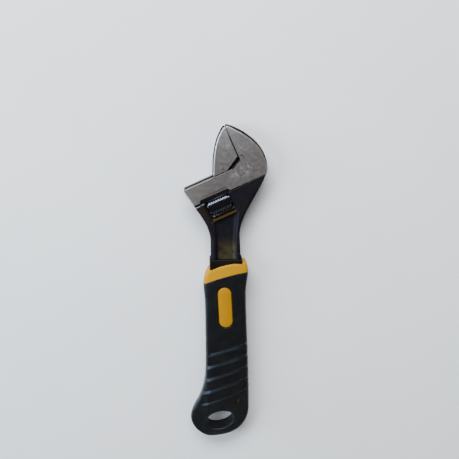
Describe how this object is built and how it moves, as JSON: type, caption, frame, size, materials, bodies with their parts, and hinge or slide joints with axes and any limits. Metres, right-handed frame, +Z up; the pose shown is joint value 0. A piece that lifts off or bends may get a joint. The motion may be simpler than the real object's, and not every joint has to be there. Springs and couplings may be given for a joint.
{
  "type": "adjustable wrench",
  "caption": "Adjustable wrench with a worm-driven sliding jaw, ground head, black forged neck and a black and yellow moulded grip with a hanging hole.",
  "frame": {"origin": "middle of the bounding box in X and Y, at the lowest face of the grip", "axes": "+Y along the handle from the hanging hole to the jaws, +Z up out of the upper flat side, +X to the right seen from above with the jaws away from the viewer"},
  "size_m": [0.0504, 0.2038, 0.0156],
  "materials": {
    "black_steel": "glossy black oxide on the forging, sides of the head ground bright",
    "ground_steel": "ground bright, satin",
    "worm_steel": "polished, fine knurl",
    "pin_steel": "turned",
    "spring_steel": "drawn wire",
    "liner_plastic": "flat black",
    "yellow_plastic": "semi-gloss yellow",
    "black_rubber": "fine matte texture"
  },
  "bodies": {
    "frame": {"wrench_body": "black_steel", "worm_pin": "pin_steel", "worm_spring": "spring_steel", "grip_liner": "liner_plastic", "grip_core": "yellow_plastic", "grip_cover": "black_rubber"},
    "jaw": {"movable_jaw": "ground_steel"},
    "worm": {"worm": "worm_steel"}
  },
  "joints": [
    {"name": "worm_spin", "type": "hinge", "parent": "frame", "child": "worm", "pos_m": [-0.00363, 0.05455, 0.0078], "axis": [0.9171, 0.3987, 0], "range_deg": [0, 5760]},
    {"name": "jaw_slide", "type": "slide", "parent": "frame", "child": "jaw", "axis": [-0.9171, -0.3987, 0], "range_m": [0, 0.024]}
  ],
  "couplings": [
    {"joint": "worm_spin", "follows": "jaw_slide", "rad_per_m": 4188.8}
  ]
}
